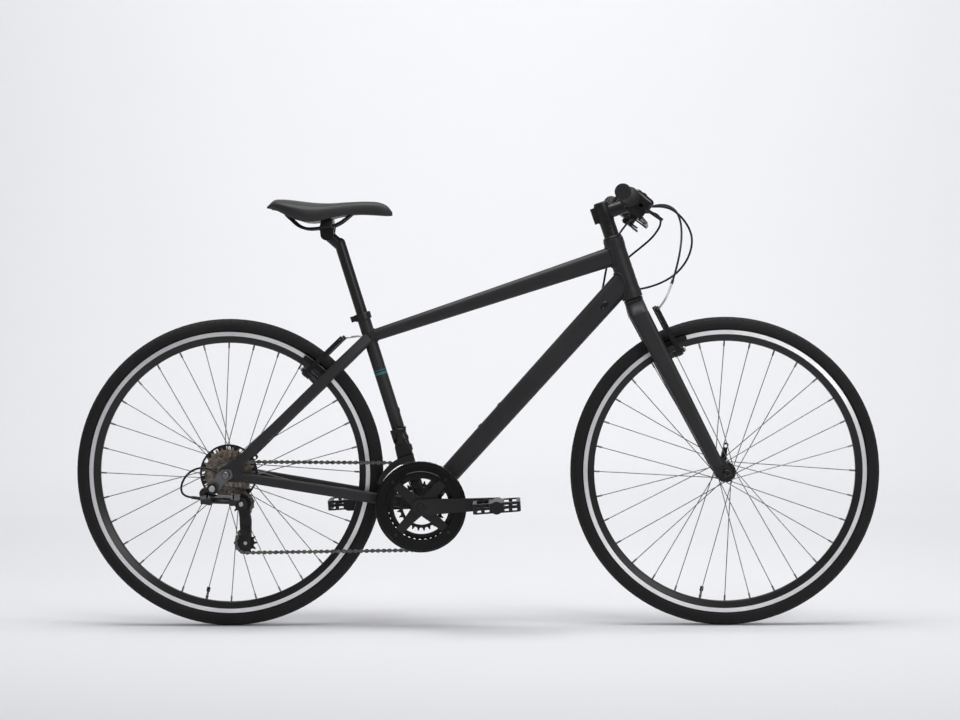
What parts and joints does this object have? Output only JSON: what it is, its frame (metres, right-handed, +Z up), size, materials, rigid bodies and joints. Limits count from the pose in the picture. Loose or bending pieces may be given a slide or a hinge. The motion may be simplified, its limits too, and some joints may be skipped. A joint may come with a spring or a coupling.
{
  "type": "hybrid bicycle",
  "caption": "Flat-bar hybrid bicycle with spoked road-size wheels, rim brakes, derailleur gears and a diamond frame, for riding on streets and paths.",
  "frame": {"origin": "on the ground, midway between the axles, in the bike's middle plane", "axes": "+X forward, +Y to the rider's left, +Z up"},
  "size_m": [1.8039, 0.6426, 0.9764],
  "materials": {
    "frame_paint": "matte black paint",
    "black_alloy": "satin black anodised alloy",
    "rim_alloy": "black rim with a machined brake track",
    "tyre": "black rubber",
    "steel": "bright steel",
    "drive_steel": "oiled steel",
    "plastic": "black moulded plastic",
    "rubber": "soft grip rubber",
    "cover": "black synthetic cover",
    "housing": "black cable housing"
  },
  "bodies": {
    "frame": {"head_tube": "frame_paint", "top_tube": "frame_paint", "down_tube": "frame_paint", "seat_tube": "frame_paint", "chain_stays": "frame_paint", "seat_stays": "frame_paint", "seat_clamp": "black_alloy", "bottom_bracket_unit": "drive_steel", "rear_axle": "steel", "front_derailleur_body": "black_alloy", "chain": "drive_steel", "frame_cables": "housing"},
    "seat": {"seatpost": "black_alloy"},
    "saddle": {"saddle_rails": "drive_steel", "saddle_base": "plastic", "saddle_cover": "cover"},
    "steer": {"fork": "frame_paint", "headset_spacers": "black_alloy", "stem": "black_alloy", "handlebar": "black_alloy", "grips": "rubber", "control_bodies": "plastic", "front_axle": "black_alloy", "front_brake_cable": "housing"},
    "front_wheel": {"front_tyre": "tyre", "front_rim": "rim_alloy", "front_spokes": "steel", "front_hub": "black_alloy"},
    "rear_wheel": {"rear_tyre": "tyre", "rear_rim": "rim_alloy", "rear_spokes": "steel", "rear_hub": "black_alloy"},
    "cassette": {"sprockets": "drive_steel"},
    "crank": {"crank_arm_right": "black_alloy", "crank_arm_left": "black_alloy", "chainrings": "drive_steel", "chain_guard": "plastic"},
    "right_pedal": {"pedal_right": "plastic"},
    "left_pedal": {"pedal_left": "plastic"},
    "right_brake_lever": {"brake_lever_right": "black_alloy"},
    "left_brake_lever": {"brake_lever_left": "black_alloy"},
    "right_thumb_lever": {"thumb_lever_right": "plastic"},
    "left_thumb_lever": {"thumb_lever_left": "plastic"},
    "right_release_lever": {"release_lever_right": "plastic"},
    "left_release_lever": {"release_lever_left": "plastic"},
    "front_right_brake": {"front_brake_arm_right": "black_alloy"},
    "front_left_brake": {"front_brake_arm_left": "black_alloy"},
    "rear_right_brake": {"rear_brake_arm_right": "black_alloy"},
    "rear_left_brake": {"rear_brake_arm_left": "black_alloy"},
    "derailleur": {"rd_knuckle": "black_alloy"},
    "outer_link": {"rd_outer_link": "black_alloy"},
    "inner_link": {"rd_inner_link": "black_alloy"},
    "lower_knuckle": {"rd_p_knuckle": "black_alloy"},
    "cage": {"rd_cage": "drive_steel"},
    "guide": {"guide_pulley": "plastic"},
    "tension": {"tension_pulley": "plastic"},
    "shift_link": {"fd_link": "black_alloy"},
    "shift_cage": {"fd_cage": "drive_steel"},
    "front_release": {"front_qr_lever": "black_alloy"},
    "rear_release": {"rear_qr_lever": "black_alloy"}
  },
  "joints": [
    {"name": "steering", "type": "hinge", "parent": "frame", "child": "steer", "pos_m": [0.35027, 0, 0.73785], "axis": [-0.319, 0, 0.9478], "range_deg": [-65, 65], "deforming": ["frame_cables"]},
    {"name": "front_wheel_spin", "type": "hinge", "parent": "steer", "child": "front_wheel", "pos_m": [0.556, 0, 0.346], "axis": [0, 1, 0], "continuous": true},
    {"name": "rear_wheel_spin", "type": "hinge", "parent": "frame", "child": "rear_wheel", "pos_m": [-0.556, 0, 0.346], "axis": [0, 1, 0], "continuous": true},
    {"name": "crank_spin", "type": "hinge", "parent": "frame", "child": "crank", "pos_m": [-0.12311, 0, 0.273], "axis": [0, 1, 0], "continuous": true, "deforming": ["chain"]},
    {"name": "cassette_spin", "type": "hinge", "parent": "frame", "child": "cassette", "pos_m": [-0.556, 0, 0.346], "axis": [0, 1, 0], "continuous": true},
    {"name": "right_pedal_spin", "type": "hinge", "parent": "crank", "child": "right_pedal", "pos_m": [0.04666, 0, 0.2819], "axis": [0, 1, 0], "continuous": true},
    {"name": "left_pedal_spin", "type": "hinge", "parent": "crank", "child": "left_pedal", "pos_m": [-0.29288, 0, 0.2641], "axis": [0, 1, 0], "continuous": true},
    {"name": "left_brake_lever_pull", "type": "hinge", "parent": "steer", "child": "left_brake_lever", "pos_m": [0.36841, 0.17385, 0.92964], "axis": [0.587, 0.0515, 0.8079], "range_deg": [0, 20], "stiffness_Nm_per_rad": 2, "springref_deg": -8.59, "deforming": ["front_brake_cable"]},
    {"name": "left_thumb_push", "type": "hinge", "parent": "steer", "child": "left_thumb_lever", "pos_m": [0.34314, 0.15833, 0.91186], "axis": [-0.587, -0.0515, -0.8079], "range_deg": [0, 30], "stiffness_Nm_per_rad": 0.3, "springref_deg": -5.73},
    {"name": "left_release_push", "type": "hinge", "parent": "steer", "child": "left_release_lever", "pos_m": [0.34314, 0.15833, 0.91186], "axis": [0.587, 0.0515, 0.8079], "range_deg": [0, 15], "stiffness_Nm_per_rad": 0.3, "springref_deg": -5.73},
    {"name": "right_brake_lever_pull", "type": "hinge", "parent": "steer", "child": "right_brake_lever", "pos_m": [0.36841, -0.17385, 0.92964], "axis": [-0.587, 0.0515, -0.8079], "range_deg": [0, 20], "stiffness_Nm_per_rad": 2, "springref_deg": -8.59, "deforming": ["frame_cables"]},
    {"name": "right_thumb_push", "type": "hinge", "parent": "steer", "child": "right_thumb_lever", "pos_m": [0.34314, -0.15833, 0.91186], "axis": [0.587, -0.0515, 0.8079], "range_deg": [0, 30], "stiffness_Nm_per_rad": 0.3, "springref_deg": -5.73},
    {"name": "right_release_push", "type": "hinge", "parent": "steer", "child": "right_release_lever", "pos_m": [0.34314, -0.15833, 0.91186], "axis": [-0.587, 0.0515, -0.8079], "range_deg": [0, 15], "stiffness_Nm_per_rad": 0.3, "springref_deg": -5.73},
    {"name": "front_left_brake_close", "type": "hinge", "parent": "steer", "child": "front_left_brake", "pos_m": [0.41609, 0.041, 0.59751], "axis": [0.8901, 0, 0.4558], "range_deg": [0, 3.5]},
    {"name": "front_right_brake_close", "type": "hinge", "parent": "steer", "child": "front_right_brake", "pos_m": [0.41609, -0.041, 0.59751], "axis": [-0.8901, 0, -0.4558], "range_deg": [0, 3.5]},
    {"name": "rear_left_brake_close", "type": "hinge", "parent": "frame", "child": "rear_left_brake", "pos_m": [-0.35049, 0.041, 0.54346], "axis": [0.6929, 0, -0.7211], "range_deg": [0, 3.5]},
    {"name": "rear_right_brake_close", "type": "hinge", "parent": "frame", "child": "rear_right_brake", "pos_m": [-0.35049, -0.041, 0.54346], "axis": [-0.6929, 0, 0.7211], "range_deg": [0, 3.5]},
    {"name": "seatpost_slide", "type": "slide", "parent": "frame", "child": "seat", "axis": [-0.2957, 0, 0.9553], "range_m": [-0.09, 0.04]},
    {"name": "saddle_tilt", "type": "hinge", "parent": "seat", "child": "saddle", "pos_m": [-0.332, 0, 0.88], "axis": [0, 1, 0], "range_deg": [-8, 8]},
    {"name": "derailleur_swing", "type": "hinge", "parent": "frame", "child": "derailleur", "pos_m": [-0.584, 0, 0.317], "axis": [0, 1, 0], "range_deg": [0, 20], "stiffness_Nm_per_rad": 2, "springref_deg": -22.92},
    {"name": "shift_link_outer", "type": "hinge", "parent": "derailleur", "child": "outer_link", "pos_m": [-0.59149, -0.09012, 0.29913], "axis": [0, 0.6428, 0.766], "range_deg": [0, 45], "stiffness_Nm_per_rad": 1.5, "springref_deg": -28.65},
    {"name": "shift_link_inner", "type": "hinge", "parent": "derailleur", "child": "inner_link", "pos_m": [-0.59251, -0.07788, 0.28887], "axis": [0, 0.6428, 0.766], "range_deg": [0, 45]},
    {"name": "lower_knuckle_turn", "type": "hinge", "parent": "outer_link", "child": "lower_knuckle", "pos_m": [-0.54159, -0.08766, 0.29707], "axis": [0, 0.6428, 0.766], "range_deg": [-45, 0]},
    {"name": "cage_swing", "type": "hinge", "parent": "lower_knuckle", "child": "cage", "pos_m": [-0.521, -0.056, 0.282], "axis": [0, 1, 0], "range_deg": [-45, 15], "stiffness_Nm_per_rad": 0.5},
    {"name": "guide_spin", "type": "hinge", "parent": "cage", "child": "guide", "pos_m": [-0.521, -0.056, 0.282], "axis": [0, 1, 0], "continuous": true},
    {"name": "tension_spin", "type": "hinge", "parent": "cage", "child": "tension", "pos_m": [-0.51465, -0.056, 0.19323], "axis": [0, 1, 0], "continuous": true},
    {"name": "front_shift_link", "type": "hinge", "parent": "frame", "child": "shift_link", "pos_m": [-0.169, -0.036, 0.442], "axis": [1, 0, 0], "range_deg": [0, 33], "stiffness_Nm_per_rad": 0.8, "springref_deg": -28.65},
    {"name": "front_shift_cage", "type": "hinge", "parent": "shift_link", "child": "shift_cage", "pos_m": [-0.169, -0.044, 0.4152], "axis": [1, 0, 0], "range_deg": [-33, 0]},
    {"name": "front_release_turn", "type": "hinge", "parent": "steer", "child": "front_release", "pos_m": [0.556, 0, 0.346], "axis": [0, 1, 0], "range_deg": [-90, 90]},
    {"name": "rear_release_turn", "type": "hinge", "parent": "frame", "child": "rear_release", "pos_m": [-0.556, 0, 0.346], "axis": [0, 1, 0], "range_deg": [-90, 90]}
  ],
  "couplings": [
    {"joint": "cassette_spin", "follows": "crank_spin", "ratio": 3.4286},
    {"joint": "tension_spin", "follows": "crank_spin", "ratio": 4.3636},
    {"joint": "guide_spin", "follows": "crank_spin", "ratio": -4.3636},
    {"joint": "front_left_brake_close", "follows": "left_brake_lever_pull", "ratio": 0.17},
    {"joint": "front_right_brake_close", "follows": "left_brake_lever_pull", "ratio": 0.17},
    {"joint": "rear_left_brake_close", "follows": "right_brake_lever_pull", "ratio": 0.17},
    {"joint": "rear_right_brake_close", "follows": "right_brake_lever_pull", "ratio": 0.17},
    {"joint": "shift_link_inner", "follows": "shift_link_outer", "ratio": 1},
    {"joint": "lower_knuckle_turn", "follows": "shift_link_outer", "ratio": -1},
    {"joint": "front_shift_cage", "follows": "front_shift_link", "ratio": -1}
  ]
}
